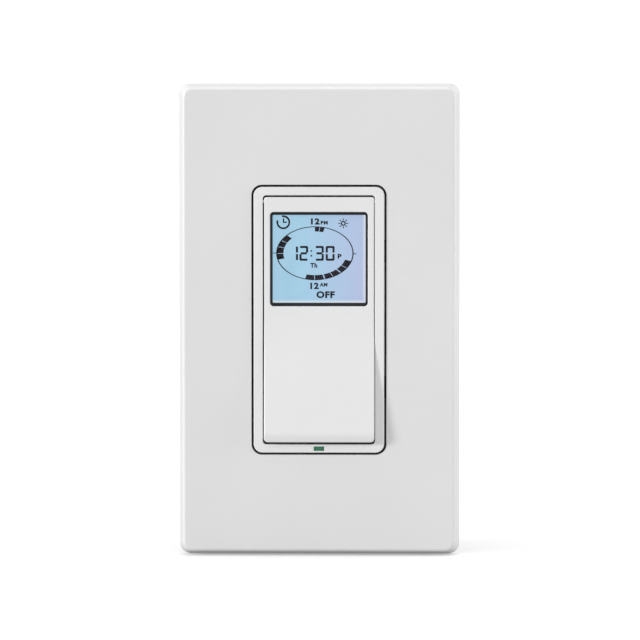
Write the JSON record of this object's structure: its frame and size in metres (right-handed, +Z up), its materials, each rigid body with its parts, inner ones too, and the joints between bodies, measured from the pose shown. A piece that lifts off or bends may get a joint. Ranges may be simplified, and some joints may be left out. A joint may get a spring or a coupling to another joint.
{
  "type": "timer light switch",
  "caption": "White wall timer switch: screwless plate, bezel, hinged push pad with a display window over hidden programming keys, and a wired housing behind a steel strap.",
  "frame": {"origin": "middle of the wall plane, halfway between the two box screws", "axes": "+Z up, -Y out of the wall towards the room, +X to the right seen from the room"},
  "size_m": [0.07, 0.0419, 0.1174],
  "materials": {
    "white_front": "satin moulded, bright white",
    "white_inner": "moulded, plain",
    "light_gray_keys": "fine matt moulded",
    "black_plastic": "matt black",
    "dark_gray_housing": "matt moulded, heat resistant",
    "clear_lens": "clear polished",
    "display_glass": "pale blue liquid-crystal glass",
    "backlight_white": "milky light guide",
    "green_light": "tinted clear light pipe",
    "zinc_steel": "zinc plated",
    "pin_steel": "bright drawn",
    "brass": "stamped",
    "black_screw": "black plated",
    "red_screw": "red plated",
    "green_screw": "green plated",
    "fibre": "pressed fibre",
    "silicone": "soft silicone",
    "contact_rubber": "conductive layered rubber",
    "circuit_board": "green solder mask",
    "relay_case": "moulded case",
    "film_case": "moulded case",
    "can_sleeve": "shrink sleeve",
    "varistor_coat": "dipped coat",
    "can_metal": "drawn can",
    "chip_epoxy": "moulded epoxy"
  },
  "bodies": {
    "switch_body": {"wallplate_cover": "white_front", "wallplate_subplate": "black_plastic", "subplate_screws": "zinc_steel", "mounting_strap": "zinc_steel", "box_screws": "zinc_steel", "screw_retainers": "fibre", "ground_screw": "green_screw", "bezel_frame": "white_front", "status_light_pipe": "green_light", "pad_hinge_pin": "pin_steel", "front_housing": "black_plastic", "display_holder": "black_plastic", "display_lens": "clear_lens", "lcd_panel": "display_glass", "backlight_panel": "backlight_white", "display_connectors": "contact_rubber", "switch_bases": "black_plastic", "load_dome": "silicone", "control_board": "circuit_board", "status_led": "backlight_white", "control_chips": "chip_epoxy", "backup_capacitor": "can_metal", "board_header": "black_plastic", "power_board": "circuit_board", "load_relay": "relay_case", "dropper_capacitor": "film_case", "smoothing_capacitor": "can_sleeve", "surge_varistor": "varistor_coat", "rear_housing": "dark_gray_housing", "housing_screws": "zinc_steel", "terminal_plates": "brass", "terminal_clamps": "zinc_steel", "line_terminal_screw": "black_screw", "load_terminal_screw": "red_screw", "neutral_terminal_screw": "zinc_steel", "traveler_terminal_screw": "brass"},
    "push_pad": {"push_pad": "white_front", "load_plunger": "white_inner"},
    "up_button": {"up_button": "light_gray_keys", "up_switch_stem": "black_plastic"},
    "down_button": {"down_button": "light_gray_keys", "down_switch_stem": "black_plastic"},
    "enter_button": {"enter_button": "light_gray_keys", "enter_switch_stem": "black_plastic"},
    "back_button": {"back_button": "light_gray_keys", "back_switch_stem": "black_plastic"}
  },
  "joints": [
    {"name": "pad_swing", "type": "hinge", "parent": "switch_body", "child": "push_pad", "pos_m": [0, -0.0058, 0.02942], "axis": [-1, 0, 0], "range_deg": [-1.2, 95]},
    {"name": "up_press", "type": "slide", "parent": "switch_body", "child": "up_button", "axis": [0, 1, 0], "range_m": [0, 0.0003], "stiffness_N_per_m": 400, "springref_m": -0.002},
    {"name": "down_press", "type": "slide", "parent": "switch_body", "child": "down_button", "axis": [0, 1, 0], "range_m": [0, 0.0003], "stiffness_N_per_m": 400, "springref_m": -0.002},
    {"name": "enter_press", "type": "slide", "parent": "switch_body", "child": "enter_button", "axis": [0, 1, 0], "range_m": [0, 0.0003], "stiffness_N_per_m": 400, "springref_m": -0.002},
    {"name": "back_press", "type": "slide", "parent": "switch_body", "child": "back_button", "axis": [0, 1, 0], "range_m": [0, 0.0003], "stiffness_N_per_m": 400, "springref_m": -0.002}
  ]
}
